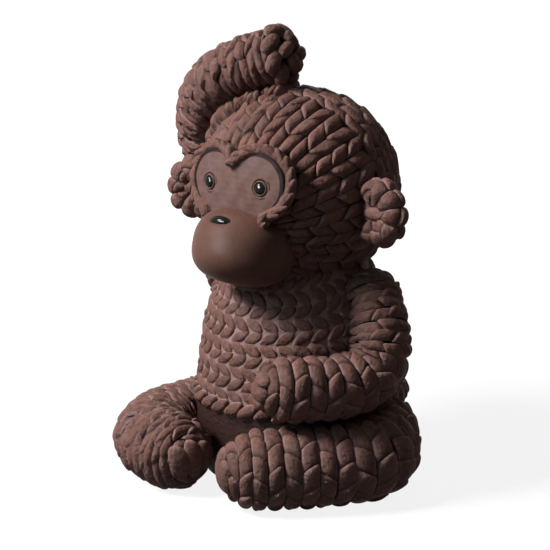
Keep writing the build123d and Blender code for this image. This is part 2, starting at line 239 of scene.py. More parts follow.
class Tube:
    """A round form along a line. A place on it is a turn round the line and a length along the skin."""

    # A limb: its domed ends, the least radius that a leaf bends to, and the step between beads that fill it
    DOME_END = 89
    DOME_STEPS = 30
    LEAST_BEND = 3.0
    BEAD_STEP = 4

    # The torso: the step between rays, the fits to the crests, and the neck above the shell
    FEEL_STEP = 0.4
    CREST_FITS = 4
    CREST_DEGREE = 7
    CREST_SLACK = 0.1
    NECK_RISES = np.array([2.0, 4.0, 6.0])
    NECK_INSETS = np.array([0.7, 1.8, 3.2])

    def __init__(self, length, middle, first, second, along, radius, lean):
        self.length = length
        self.skin_radius = radius
        self.columns = np.column_stack([middle, first, second, along, radius, lean])

    def radius(self, length):
        return np.interp(length, self.length, self.skin_radius)

    def at(self, turn, length, height):
        """Places at a turn, a length along the skin and a height above it."""
        flat = np.ravel(length)
        table = np.stack([np.interp(flat, self.length, column) for column in self.columns.T], -1)
        table = table.reshape(*np.shape(length), self.columns.shape[1])
        middle, first, second, along, radius, lean = np.split(table, (3, 6, 9, 12, 13), -1)
        outward = swing(turn, first, second)
        normal = swing(lean[..., 0], outward, along)
        return middle + radius * outward + height[..., None] * normal

    def leaf(self, place, along, side, height):
        """Bends leaves round the tube: along runs round it and side runs towards its tip."""
        turn, length = place[:, :1], place[:, 1:]
        radius = np.maximum(self.radius(length), self.LEAST_BEND)
        return self.at(turn + along / radius, length + side, height)

    @classmethod
    def limb(cls, points, radii, across):
        """A limb with a domed root and a domed tip."""
        line = smooth_line(points)
        tangent = unit(np.gradient(line, axis=0))
        first = np.zeros_like(line)
        across = np.array(across, float)
        for i, way in enumerate(tangent):
            across = across - way * (across @ way)
            across /= np.linalg.norm(across)
            first[i] = across
        reach = lengths_along(line)
        radius = np.interp(reach, (0, reach[-1]), radii)
        dome = np.radians(np.linspace(0, cls.DOME_END, cls.DOME_STEPS))[1:]
        start, end = radii
        root_middle = line[0] - tangent[0] * (start * np.sin(dome[::-1]))[:, None]
        tip_middle = line[-1] + tangent[-1] * (end * np.sin(dome))[:, None]
        over_ends = ((len(dome), len(dome)), (0, 0))
        first = np.pad(first, over_ends, "edge")
        tangent = np.pad(tangent, over_ends, "edge")
        tube = cls(
            np.r_[-start * dome[::-1], reach, reach[-1] + end * dome],
            np.concatenate([root_middle, line, tip_middle]),
            first,
            np.cross(tangent, first),
            tangent,
            np.r_[start * np.cos(dome[::-1]), radius, end * np.cos(dome)],
            np.r_[-dome[::-1], np.zeros(len(line)), dome],
        )
        tube.line = line
        tube.beads = line[:: cls.BEAD_STEP]
        tube.bead_radius = radius[:: cls.BEAD_STEP]
        tube.reach = reach[-1]
        tube.tip = (line[-1], tangent[-1], first[-1])
        tube.tip_radius = end
        return tube

    @classmethod
    def torso(cls):
        """The torso's skin over the crests of its rows, felt with level rays from behind."""
        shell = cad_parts["torso_shell"]
        heights = np.arange(cls.FEEL_STEP, TORSO_TOP - cls.FEEL_STEP, cls.FEEL_STEP)
        felt = []
        for height in heights:
            met, place, _, _ = shell.ray_cast(Vector((0, 1, height * MM)), Vector((0, -1, 0)))
            if not met:
                raise RuntimeError("the torso has no skin at height %.1f mm" % height)
            felt.append(place.y / MM)
        felt = np.array(felt)
        crest = np.ones(len(felt), bool)
        for _ in range(cls.CREST_FITS):
            skin = np.polynomial.Polynomial.fit(heights[crest], felt[crest], cls.CREST_DEGREE)
            crest &= felt >= skin(heights) - cls.CREST_SLACK
        radius = skin(heights)
        heights = np.r_[heights, TORSO_TOP + cls.NECK_RISES]
        radius = np.r_[radius, radius[-1] - cls.NECK_INSETS]
        lean = -np.arctan(np.gradient(radius, heights))
        rows = np.ones((len(heights), 1))
        return cls(heights, heights[:, None] * UP, rows * FRONT, rows * ASIDE, rows * UP, radius, lean)


class Ball:
    """A round form about a centre. A place on it is a set of three axes, the first of them outward."""

    def __init__(self, centre, radius):
        self.centre = np.array(centre, float)
        self.radius = radius

    def leaf(self, place, along, side, height):
        """Bends leaves round the ball from the middle of each leaf."""
        outward, ahead, across = (place[:, None, axis] for axis in range(3))
        reach = np.hypot(along, side)
        safe = np.maximum(reach, 1e-9)
        level = (along[..., None] * ahead + side[..., None] * across) / safe[..., None]
        normal = swing(reach / self.radius, outward, level)
        return self.centre + (self.radius + height)[..., None] * normal

    @staticmethod
    def axes(pole, start, polar, turn, twist):
        """Axes at an angle from the pole and a turn about it.

        The second axis points away from the pole, turned by the twist.
        """
        level = swing(turn, start, np.cross(pole, start))
        outward = swing(polar, pole, level)
        away = swing(polar, level, -pole)
        ahead = swing(twist, away, np.cross(outward, away))
        return axes_from(outward, ahead)


class LeafForm(NamedTuple):
    """The points of a leaf of unit size.

    Each has its share of the length, its side from -1 to 1, its height and how near the leaf's edge it is.
    """

    share: np.ndarray
    side: np.ndarray
    height: np.ndarray
    edge: np.ndarray
    quads: np.ndarray
    tris: np.ndarray

    @classmethod
    def pod(cls, point, fullness, rings=11, sides=14, peak=1.0):
        """A closed leaf that comes to a point at both ends. A peak over 1 makes it widest past its middle."""
        square = 0.8
        under = 0.45
        ridge = 0.6
        share = 0.5 - 0.5 * np.cos(np.pi * np.arange(1, rings + 1) / (rings + 1))
        width = (1 - np.abs(2 * share**peak - 1) ** point) ** (1 / fullness)
        angle = round_turns(sides)
        across = np.sign(np.cos(angle)) * np.abs(np.cos(angle)) ** square
        rise = np.sign(np.sin(angle)) * np.abs(np.sin(angle)) ** square
        bed = np.where(rise > 0, rise, under * rise)
        edge = 1 - np.tile(np.maximum(rise, 0), rings)
        ring = 1 + np.arange(rings * sides).reshape(rings, sides)
        turned = np.roll(ring, -1, 1)
        first = cap_tris(0, turned[0], ring[0])
        last = cap_tris(rings * sides + 1, ring[-1], turned[-1])
        return cls(
            np.r_[0, np.repeat(share, sides), 1],
            np.r_[0, np.outer(width, across).ravel(), 0],
            np.r_[0, np.outer(width**ridge, bed).ravel(), 0],
            np.r_[1, edge, 1],
            band_quads(ring, turned),
            np.concatenate([first, last]),
        )

    @classmethod
    def rope(cls, fullness, step, dip, narrow=0.07, taper=4.0, rings=15, sides=15):
        """A stretch of rope: round across, high at its head, and sunk at its tail under the next head.

        Narrow is how much of the width is lost at both ends. A low taper starts that loss near the middle.
        """
        head_share = 0.2
        tail_share = 0.15
        share = 0.5 - 0.5 * np.cos(np.linspace(0, np.pi, rings))
        across = np.sin(np.linspace(-np.pi / 2, np.pi / 2, sides))
        head = np.clip((share - (1 - head_share)) / head_share, 0, 1)
        tail = np.clip(1 - share / tail_share, 0, 1)
        ramp = 1 - step * (1 - share) - (step + dip) * head**3 - dip * tail**2
        rib = (1 - np.abs(across) ** fullness) ** 0.5
        part, place = crossed(share, across)
        side = place * (1 - narrow * np.abs(2 * part - 1) ** taper)
        index = np.arange(rings * sides).reshape(rings, sides)
        return cls(
            part.ravel(),
            side.ravel(),
            np.outer(ramp, rib).ravel(),
            np.abs(place.ravel()) ** 3,
            band_quads(index[:, :-1], index[:, 1:]),
            np.zeros((0, 3), int),
        )

    def lay(
        self, relief, skin, place, length, width, height,
        *, bed, shear=0.0, bow=0.0, slant=0.0, rise=0.0, lift=0.0,
    ):
        """Adds a leaf at each place on the skin, with small seeded differences.

        Length, half width, height and slant are one number or one for each leaf. A length and a width that
        are both negative turn the leaf's head to its other end. The bed is the height above the skin that the
        leaf starts from. Shear pushes one side ahead of the other, bow curves the leaf, slant turns it, rise
        makes its tip higher than its tail, and lift raises the tip off the bed.
        """
        count = len(place)
        chance = relief.chance.uniform(-1, 1, (6, count, 1))
        length, width, height, slant = (
            np.broadcast_to(np.asarray(size, float), (count,))[:, None]
            for size in (length, width, height, slant)
        )
        side = width * (1 + SIZE_PLAY * chance[0]) * self.side
        along = length * (1 + SIZE_PLAY * chance[1]) * (self.share - 0.5)
        along = along + shear * (1 + SHEAR_PLAY * chance[5]) * side
        along = along - bow * np.abs(width) * np.sign(length) * self.side**2
        side = side + (slant + SLANT_PLAY * chance[2]) * along
        high = height * (1 + HEIGHT_PLAY * chance[3]) * self.height * (1 + rise * (2 * self.share - 1))
        high = high + bed + lift * self.share**2
        tone = np.repeat(0.5 + 0.5 * chance[4].ravel(), len(self.share))
        relief.add_copies(skin.leaf(place, along, side, high), self, tone)


class Relief:
    """Gathers a core and its leaves, and makes one piece of them.

    Each point has four marks for the finish: how near the edge of its leaf it is, its share of the way to the
    leaf's tip, the tone of its leaf, and how strongly shade is painted there, which also damps the pale
    coats.
    """

    def __init__(self, seed, stain=1.0):
        self.chance = np.random.default_rng(seed)
        self.stain = stain
        self.points = []
        self.quads = []
        self.tris = []
        self.marks = {"edge": [], "tip": [], "tone": [], "stain": []}
        self.count = 0

    def add(self, points, quads, tris, **marks):
        """Adds points with their faces. A mark is one number or one for each point."""
        self.points.append(points)
        self.quads.append(quads.reshape(-1, 4) + self.count)
        self.tris.append(tris.reshape(-1, 3) + self.count)
        for name, values in marks.items():
            self.marks[name].append(np.broadcast_to(np.asarray(values, float), (len(points),)))
        self.count += len(points)

    def add_copies(self, points, form, tone):
        """Adds leaves of one form from the points of each."""
        copies, size = points.shape[:2]
        shift = (np.arange(copies) * size)[:, None, None]
        edge = np.tile(form.edge, copies)
        tip = np.tile(form.share, copies)
        self.add(
            points.reshape(-1, 3), form.quads + shift, form.tris + shift,
            edge=edge, tip=tip, tone=tone, stain=self.stain,
        )

    # By default a skin counts as deep and tucked, so it gets painted shade all over
    def add_grid(self, points, edge=1.0, tip=0.0, stain=CORE_SHADE_PAINT):
        """A skin of rows of points. Each row joins end to end, and the first and the last row get a cap."""
        rows, sides = points.shape[:2]
        index = np.arange(rows * sides).reshape(rows, sides)
        ahead = np.roll(index, -1, 1)
        flat = np.concatenate([points.reshape(-1, 3), points[:1].mean(1), points[-1:].mean(1)])
        low = cap_tris(rows * sides, ahead[0], index[0])
        high = cap_tris(rows * sides + 1, index[-1], ahead[-1])
        marks = [np.broadcast_to(mark, points.shape[:2]) for mark in (edge, tip, stain)]
        edge, tip, stain = (np.r_[mark.ravel(), mark[0].mean(), mark[-1].mean()] for mark in marks)
        tris = np.concatenate([low, high])
        self.add(flat, band_quads(index, ahead), tris, edge=edge, tip=tip, tone=0.5, stain=stain)

    def make(self, name, finish):
        """One mesh object of all that was gathered, with nothing below the ground."""
        points = np.concatenate(self.points)
        points[:, 2] = np.maximum(points[:, 2], 0.0)
        quads = np.concatenate(self.quads)
        tris = np.concatenate(self.tris)
        loops = np.concatenate([quads.ravel(), tris.ravel()])
        sizes = np.r_[np.full(len(quads), 4), np.full(len(tris), 3)]
        mesh = bpy.data.meshes.new(name)
        mesh.vertices.add(len(points))
        mesh.vertices.foreach_set("co", (points * MM).astype(np.float32).ravel())
        mesh.loops.add(len(loops))
        mesh.loops.foreach_set("vertex_index", loops.astype(np.int32))
        mesh.polygons.add(len(sizes))
        mesh.polygons.foreach_set("loop_start", np.r_[0, np.cumsum(sizes)[:-1]].astype(np.int32))
        mesh.polygons.foreach_set("loop_total", sizes.astype(np.int32))
        mesh.polygons.foreach_set("use_smooth", np.ones(len(sizes), bool))
        for mark, values in self.marks.items():
            layer = mesh.attributes.new(mark, "FLOAT", "POINT")
            layer.data.foreach_set("value", np.concatenate(values).astype(np.float32))
        mesh.update(calc_edges=True)
        mesh.validate()
        mesh.materials.append(finish)
        piece = bpy.data.objects.new(name, mesh)
        bpy.context.scene.collection.objects.link(piece)
        return piece


TORSO = Tube.torso()
HEAD = Ball(HEAD_CENTRE, HEAD_RADIUS)
LIMBS = {
    "left_leg": Tube.limb(level_stops(LEFT, LEFT_LEG_STOPS), LEG_RADII, UP),
    "right_leg": Tube.limb(level_stops(RIGHT, RIGHT_LEG_STOPS), LEG_RADII, UP),
    "resting_arm": Tube.limb(level_stops(LEFT, RESTING_ARM_STOPS), RESTING_ARM_RADII, ASIDE),
    "raised_arm": Tube.limb(
        level_stops(RIGHT, [SHOULDER_STOP]) + head_stops(RIGHT, RAISED_ARM_STOPS), RAISED_ARM_RADII, ASIDE
    ),
}
ROPE = LeafForm.rope(fullness=2.1, step=0.42, dip=0.22)
SCALE = LeafForm.rope(fullness=2.4, step=0.3, dip=0.4, narrow=0.75, taper=2.6)
FLAME = LeafForm.rope(fullness=1.8, step=0.55, dip=0.2)
TUFT = LeafForm.pod(point=3.0, fullness=1.8, peak=1.25)
SEED_POD = LeafForm.pod(point=2.4, fullness=1.7, sides=16)


def sunk(points, depth, own):
    """True where a place lies deeper than depth in a piece other than its own, or under the ground."""
    flat = np.hypot(points[:, 0], points[:, 1])
    inside = points[:, 2] < -depth
    if own != "torso":
        level = np.clip(points[:, 2], 0, TORSO_TOP)
        inside |= (flat < TORSO.radius(level) - depth) & (points[:, 2] < TORSO_TOP)
    if own != "head":
        inside |= np.linalg.norm(points - HEAD_CENTRE, axis=1) < HEAD_RADIUS - depth
    for name, limb in LIMBS.items():
        if name != own:
            away = np.linalg.norm(points[:, None] - limb.beads, axis=2) - limb.bead_radius
            inside |= away.min(1) < -depth
    return inside


def mask_reach(turn, grow):
    """Distance from the mask's hub to its outline at a turn, with the outline grown outward."""
    way = compass(turn)
    far = np.zeros(np.shape(turn))
    for across, up, radius in MASK_CIRCLES:
        offset = np.array([across, up]) - MASK_HUB
        ahead = way @ offset
        square = ahead**2 - offset @ offset + (radius + grow) ** 2
        far = np.maximum(far, np.where(square > 0, ahead + np.sqrt(np.maximum(square, 0)), 0))
    return far


def in_mask(points, grow):
    """True where a place on the front of the head lies inside the grown mask outline."""
    flat = points[:, [0, 2]] - np.array([0.0, HEAD_CENTRE[2]]) - MASK_HUB
    reach = np.hypot(flat[:, 0], flat[:, 1])
    return (points[:, 1] < 0) & (reach < mask_reach(np.arctan2(flat[:, 1], flat[:, 0]), grow))


def mask_skin(flat, height):
    """Places on the mask's curved face from level offsets from the middle of the head."""
    across, up = flat[..., 0], flat[..., 1]
    depth = MASK_BACK - np.sqrt(MASK_CURVE**2 - across**2 - up**2)
    return np.stack([across, depth - height, up + HEAD_CENTRE[2]], -1)


def eye_middle(side):
    """Level offsets of an eye from the middle of the head."""
    return np.array([side * EYE_SPREAD, EYE_RISE])


def muzzle_place(turn, slope, height):
    """A place on the muzzle: turn is about its own axis from the front, slope runs from chin to crown."""
    upper = slope > 0
    power = 2 / np.where(upper, MUZZLE_FULLNESS, CHIN_FULLNESS)
    scale = 1 + height / MUZZLE_RADIUS
    reach = MUZZLE_RADIUS * np.cos(slope) ** power * scale
    level = np.where(upper, MUZZLE_RISE, -MUZZLE_DROP) * np.abs(np.sin(slope)) ** power * scale
    across = reach * np.sin(turn)
    ahead = -reach * np.cos(turn)
    tilted = [across, ahead * TILT_COS + level * TILT_SIN, level * TILT_COS - ahead * TILT_SIN]
    return MUZZLE_CENTRE + np.stack(tilted, -1)


def in_muzzle(points, depth):
    """True where a place lies deeper than depth in the muzzle."""
    offset = points - MUZZLE_CENTRE
    ahead = offset[:, 1] * TILT_COS - offset[:, 2] * TILT_SIN
    level = offset[:, 1] * TILT_SIN + offset[:, 2] * TILT_COS
    reach = np.hypot(offset[:, 0], ahead) / (MUZZLE_RADIUS - depth)
    share = np.where(level > 0, level / (MUZZLE_RISE - depth), -level / (MUZZLE_DROP - depth))
    power = np.where(level > 0, MUZZLE_FULLNESS, CHIN_FULLNESS)
    return reach**power + share**power < 1


class Wire:
    """A value, colour or vector on its way through a material. Arithmetic on values adds the Math nodes."""

    def __init__(self, finish, socket):
        self.finish = finish
        self.socket = socket

    def maths(self, operation, first, second):
        return self.finish.node("ShaderNodeMath", {"operation": operation}, {0: first, 1: second})

    def __add__(self, other):
        return self.maths("ADD", self, other)

    def __sub__(self, other):
        return self.maths("SUBTRACT", self, other)

    def __rsub__(self, other):
        return self.maths("SUBTRACT", other, self)

    def __mul__(self, other):
        return self.maths("MULTIPLY", self, other)

    __radd__ = __add__
    __rmul__ = __mul__


class Finish:
    """The nodes of a material, or of the sky, being put together."""

    def __init__(self, owner):
        owner.use_nodes = True
        self.owner = owner
        self.tree = owner.node_tree
        self.tree.nodes.clear()

    def node(self, kind, settings=None, sockets=None, output=0):
        """Adds one node: its settings first, then the values and links of its sockets."""
        made = self.tree.nodes.new(kind)
        for key, value in (settings or {}).items():
            setattr(made, key, value)
        for key, value in (sockets or {}).items():
            if isinstance(value, Wire):
                self.tree.links.new(value.socket, made.inputs[key])
            else:
                made.inputs[key].default_value = value
        return Wire(self, made.outputs[output]) if made.outputs else None

    def place(self):
        return self.node("ShaderNodeTexCoord", output="Object")

    def noise(self, scale, detail=3.0, roughness=0.55):
        sockets = {"Vector": self.place(), "Scale": scale, "Detail": detail, "Roughness": roughness}
        return self.node("ShaderNodeTexNoise", {}, sockets)

    def mark(self, name):
        return self.node("ShaderNodeAttribute", {"attribute_name": name}, {}, "Fac")

    def between(self, value, low, high):
        """0 at low, 1 at high, and a smooth step between them."""
        sockets = {"Value": value, "From Min": low, "From Max": high}
        return self.node("ShaderNodeMapRange", {"interpolation_type": "SMOOTHSTEP"}, sockets)

    def mix(self, share, first, second):
        return self.node("ShaderNodeMix", {"data_type": "RGBA"}, {0: share, 6: first, 7: second}, 2)

    def coats(self, colour, *coats):
        """The colour under coats of other colours, each with the share that it covers."""
        for share, coat in coats:
            colour = self.mix(share, colour, coat)
        return colour

    def bump(self, height, strength, distance):
        sockets = {"Strength": strength, "Distance": distance * MM, "Height": height}
        return self.node("ShaderNodeBump", {}, sockets)

    def close(self, colour, roughness, normal, specular):
        """Ends a material with its shader."""
        shader = self.node("ShaderNodeBsdfPrincipled", {}, {
            "Base Color": colour,
            "Roughness": roughness,
            "Normal": normal,
            "Specular IOR Level": specular,
        })
        self.node("ShaderNodeOutputMaterial", {}, {"Surface": shader})
        return self.owner


def opaque(colour, scale=1.0):
    """A colour with full alpha, made darker or lighter by a scale."""
    return (colour[0] * scale, colour[1] * scale, colour[2] * scale, 1.0)


def bisque_finish(finish, colours):
    """Stained bisque: brown leaves, pale creases that are partly stain and partly painted highlight, painted
    highlights on raised heads, painted shade in undercuts and tucked tails, and red and grey mottling.
    """
    patches = finish.between(finish.noise(85), 0.38, 0.66)
    clouds = finish.between(finish.noise(260, 4.0), 0.35, 0.7)
    streaks = finish.between(finish.noise(620, 5.0, 0.65), 0.42, 0.62)
    grain = finish.noise(1900, 2.0)
    edge = finish.mark("edge")
    tip = finish.mark("tip")
    stain = finish.mark("stain")
    # Pale flanks: partly pale stain in the creases, partly painted highlight on the leaf sides
    flank = finish.between(edge, 0.25, 0.7)
    # Painted shade deep at each leaf's base and over the bare core between leaves, where shade falls
    depth = finish.between(edge, 0.72, 0.98)
    # Painted highlight on the raised head of each leaf, where it would catch the light
    tip_highlight = finish.between(tip, 0.86, 0.98)
    # Painted shade on the tail of each leaf, where it tucks under the next one
    tail_shade = finish.between(tip, 0.3, 0.03)
    leaf = finish.mix(finish.mark("tone"), opaque(colours.leaf_dark), opaque(colours.leaf_light))
    wear_and_highlight = opaque(colours.wear_and_highlight)
    grain_and_painted_shade = opaque(colours.grain_and_painted_shade)
    colour = finish.coats(
        leaf,
        (patches * 0.45, opaque(colours.blush)),
        (clouds * 0.4, opaque(colours.dust)),
        (streaks * 0.36, opaque(colours.leaf_dark, 0.5)),
        (flank * (0.55 - stain * 0.22), wear_and_highlight),
        (tip_highlight * (0.6 - stain * 0.3), wear_and_highlight),
        (depth * stain * 0.75, grain_and_painted_shade),
        (tail_shade * (0.5 + stain * 0.2), grain_and_painted_shade),
        (finish.between(grain, 0.55, 0.75) * 0.25, grain_and_painted_shade),
    )
    normal = finish.bump(grain * 0.5 + finish.noise(420) * 2.0 + finish.noise(900) * 1.3, 0.68, 0.5)
    return finish.close(colour, 0.6 + clouds * 0.16, normal, specular=0.03)


def mask_finish(finish, colours):
    """Smooth bisque with the soft arcs of a finishing tool, cloudy mauve stain, and painted shade in its edge
    and eye grooves.
    """
    patches = finish.between(finish.noise(110), 0.35, 0.7)
    clouds = finish.between(finish.noise(420, 4.0), 0.35, 0.7)
    # Painted shade along the mask's edge and in the grooves of the eye rims
    painted_groove_shade = finish.between(finish.mark("edge"), 0.5, 1.0)
    colour = finish.coats(
        opaque(colours.mask),
        (patches, opaque(colours.mask_warm)),
        (clouds * 0.12, opaque(colours.wear_and_highlight)),
        (painted_groove_shade, opaque(colours.grain_and_painted_shade, 0.4)),
    )
    strokes = finish.node(
        "ShaderNodeTexWave",
        {"wave_type": "RINGS", "rings_direction": "Y"},
        {"Vector": finish.place(), "Scale": 160.0, "Distortion": 3.0, "Detail": 2.0, "Detail Scale": 1.5},
    )
    normal = finish.bump(strokes * 0.4 + finish.noise(1500) * 0.6, 0.3, 0.2)
    return finish.close(colour, 0.55 + clouds * 0.15, normal, specular=0.04)


def muzzle_finish(finish, colours):
    """Burnished bisque with a satin skin, darker in soft clouds."""
    clouds = finish.between(finish.noise(95), 0.3, 0.75)
    fine = finish.noise(1400, 3.0)
    colour = finish.coats(
        opaque(colours.muzzle),
        (clouds * 0.6, opaque(colours.muzzle_dark)),
        (finish.between(fine, 0.5, 0.8) * 0.1, opaque(colours.wear_and_highlight)),
    )
    normal = finish.bump(fine + finish.noise(300) * 0.8, 0.18, 0.2)
    return finish.close(colour, 0.42 + clouds * 0.12, normal, specular=0.03)


def glaze_finish(finish, colours):
    """Black glaze over clay, with a faint orange-peel skin."""
    skin = finish.noise(900, 2.0)
    colour = finish.mix(finish.between(skin, 0.4, 0.7), opaque(colours.glaze), opaque(colours.glaze, 2.2))
    normal = finish.bump(skin, 0.05, 0.1)
    return finish.close(colour, 0.03 + skin * 0.03, normal, specular=0.1)


FINISHES = {
    "bisque": bisque_finish,
    "mask_bisque": mask_finish,
    "satin_bisque": muzzle_finish,
    "black_glaze": glaze_finish,
}


def finish_for(slot):
    """The material of a slot, made once."""
    name = slot + "_finish"
    found = bpy.data.materials.get(name)
    if found:
        return found
    return FINISHES[slot](Finish(bpy.data.materials.new(name)), bpy.context.scene.ornament_colours)


def seat(relief, name, slot, *nodes):
    """Makes the piece, gives it its finish and stands it for its nodes on the fixed body."""
    piece = relief.make(name, finish_for(slot))
    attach(piece, "root")
    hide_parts(*nodes)


def tube_core(relief, tube, sink, sides=64, shaded_until=math.inf):
    """The bare form under the leaves, with shade painted on it up to a length along the skin and pale from
    there.
    """
    run, turn = crossed(np.arange(tube.length[0], tube.length[-1], CORE_STEP), round_turns(sides))
    ripple = CORE_RIPPLE * np.sin(5 * turn + run * 0.8) * np.sin(run * 0.37)
    pale = run > shaded_until
    # Below that length the core is marked deep and tucked, which paints shade on it
    tip = np.where(pale, 0.5, 0.0)
    stain = np.where(pale, 0.0, CORE_SHADE_PAINT)
    relief.add_grid(tube.at(turn, run, ripple - sink), tip=tip, stain=stain)


class Weave(NamedTuple):
    """Leaves on a stretch of a limb.

    Column is the width of a column and leaf the length of a leaf. Loose is how unevenly the leaves lie, as a
    share of their pitch, and a flip of -1 turns the lean of every column over.
    """

    form: LeafForm
    column: float
    leaf: float
    height: float
    loose: float
    shear: float
    flip: int


def braided(knit, flip=1):
    """Even columns that look like rope."""
    sizes = (knit.column_width / MM, knit.limb_leaf / MM, knit.limb_relief / MM)
    return Weave(ROPE, *sizes, loose=0.03, shear=0.65, flip=flip)


def flamed(knit, column, leaf, height):
    """Finer and less even columns, as shares of the sizes of the braided ones."""
    sizes = (knit.column_width / MM * column, knit.limb_leaf / MM * leaf, knit.limb_relief / MM * height)
    return Weave(FLAME, *sizes, loose=0.2, shear=1.05, flip=1)


def limb_leaves(relief, name, weave, first, last):
    """Columns of leaves round a limb, with the lean turned over from one column to the next."""
    tube = LIMBS[name]
    count = round((last - first) / weave.column)
    width = (last - first) / count
    for column in range(count):
        run = first + (column + 0.5) * width
        girth = 2 * np.pi * float(tube.radius(run))
        leaves = max(3, round(girth / weave.leaf))
        way = row_way(column) * weave.flip
        turn = round_turns(leaves, 0.25 * way + weave.loose * relief.chance.uniform(-1, 1, leaves))
        runs = run + weave.loose * width * relief.chance.uniform(-1, 1, leaves)
        keep = ~sunk(tube.at(turn, runs, np.full(leaves, LIMB_PROUD)), LIMB_SUNK, name)
        length = girth / leaves * (LAP + weave.loose)
        half_width = width * (COLUMN_HALF + 0.2 * weave.loose)
        weave.form.lay(
            relief, tube, np.column_stack([turn, runs])[keep], length, half_width, weave.height,
            bed=LIMB_PROUD - weave.height, shear=weave.shear * way, bow=0.2,
        )


def swirl_cap(relief, tube, height):
    """A swirl of full leaves over a limb's rounded tip."""
    centre, pole, start = tube.tip
    radius = tube.tip_radius
    dome = Ball(centre, radius)
    for polar, leaves, twist, length, half_width in SWIRL_RINGS:
        turn = round_turns(leaves, 0.3)
        twists = np.radians(twist) + relief.chance.uniform(-0.15, 0.15, leaves)
        axes = Ball.axes(pole, start, np.full(leaves, np.radians(polar)), turn, twists)
        TUFT.lay(
            relief, dome, axes, radius * length, radius * half_width, height * 1.25,
            bed=-1.1, slant=0.1, rise=0.1,
        )


def strip_cap(relief, tube, height):
    """Three long leaves side by side over a limb's rounded tip."""
    centre, pole, start = tube.tip
    radius = tube.tip_radius
    aside = np.radians(STRIP_ANGLES)
    turn = np.where(aside < 0, np.pi, 0.0)
    outward = Ball.axes(pole, np.cross(start, pole), np.abs(aside), turn, np.zeros(3))[:, 0]
    ahead = unit(start - (outward @ start)[:, None] * outward)
    lengths = radius * np.array(STRIP_LENGTHS)
    TUFT.lay(
        relief, Ball(centre, radius), axes_from(outward, ahead), lengths, radius * STRIP_HALF_WIDTH, height,
        bed=-1.2, shear=0.2, slant=0.1, rise=0.15,
    )


def build_limb(name, seed, weave, over=1.05, cap=strip_cap, upper=None, upper_end=0.0, stain=1.0):
    """A limb in its weave, which goes on over the tip by a share of its radius. An upper part may differ."""
    tube = LIMBS[name]
    # The relief paints shade into the limb's crevices at the strength given
    relief = Relief(seed, stain)
    core_sink = 0.85
    root_over = 1.2
    tube_core(relief, tube, weave.height * core_sink)
    first = -tube.tip_radius * root_over
    if upper:
        limb_leaves(relief, name, upper, first, upper_end)
        first = upper_end
    limb_leaves(relief, name, weave, first, tube.reach + tube.tip_radius * over)
    cap(relief, tube, weave.height)
    seat(relief, name + "_relief", "bisque", name)


def length_property(name, description, default, least=0.002):
    return bpy.props.FloatProperty(
        name=name, description=description, default=default, min=least, unit="LENGTH"
    )


def angle_property(name, description, degrees):
    return bpy.props.FloatProperty(
        name=name, description=description, default=math.radians(degrees), subtype="ANGLE"
    )


def power_property(name, description, default):
    return bpy.props.FloatProperty(name=name, description=description, default=default, min=0.0, unit="POWER")


def colour_property(name, description, default):
    return bpy.props.FloatVectorProperty(
        name=name, description=description, default=default, size=3, min=0.0, max=1.0, subtype="COLOR"
    )


class OrnamentKnit(bpy.types.PropertyGroup):
    """Sizes of the leaf-stitch relief."""

    row_height: length_property("Row height", "Height of a row of leaves on the torso", 0.0048)
    torso_leaf: length_property("Torso leaf", "Length of a leaf along its row on the torso", 0.0059)
    torso_relief: length_property("Torso relief", "Height of a torso leaf above its bed", 0.0017, 0.0002)
    column_width: length_property("Column width", "Width of a column of leaves round a limb", 0.0051)
    limb_leaf: length_property("Limb leaf", "Length of a leaf round a limb", 0.0086)
    limb_relief: length_property("Limb relief", "Height of a limb leaf above its bed", 0.0024, 0.0002)
    mane_rows: bpy.props.IntProperty(
        name="Mane rows", description="Rows of leaves that run back from the face", default=42, min=8
    )
    mane_leaf: length_property("Mane leaf", "Length of a leaf on the head", 0.0080)
    mane_relief: length_property("Mane relief", "Height of a head leaf above its bed", 0.0023, 0.0002)


class OrnamentColours(bpy.types.PropertyGroup):
    """Stains and glazes."""
    # Stains and glazes, and the colours of painted shade and painted highlight.

    leaf_dark: colour_property("Dark leaf", "Stain on the darkest leaves", (0.100, 0.049, 0.039))
    leaf_light: colour_property("Light leaf", "Stain on the lightest leaves", (0.150, 0.078, 0.062))
    blush: colour_property("Blush", "Reddish patches in the stain", (0.180, 0.076, 0.056))
    dust: colour_property("Dust", "Grey mauve bloom on the stain", (0.145, 0.094, 0.092))
    # Pale stain and wear, also used as painted highlight on leaf flanks and raised leaf heads
    wear_and_highlight: colour_property("Worn crease", "Pale lines between the leaves", (0.300, 0.205, 0.196))
    # Painted shade for deep places under and between the leaves and in grooves, also the dark grain of the
    # clay
    grain_and_painted_shade: colour_property("Undercut", "Deep places under the leaves", (0.024, 0.011, 0.009))
    mask: colour_property("Mask", "Mauve stain of the mask", (0.106, 0.060, 0.056))
    mask_warm: colour_property("Warm mask", "Brown clouds on the mask", (0.107, 0.052, 0.037))
    muzzle: colour_property("Muzzle", "Stain of the muzzle", (0.103, 0.051, 0.039))
    muzzle_dark: colour_property("Dark muzzle", "Dark clouds on the muzzle", (0.070, 0.032, 0.024))
    glaze: colour_property("Glaze", "Black glaze of the eyes and the nose", (0.004, 0.004, 0.004))


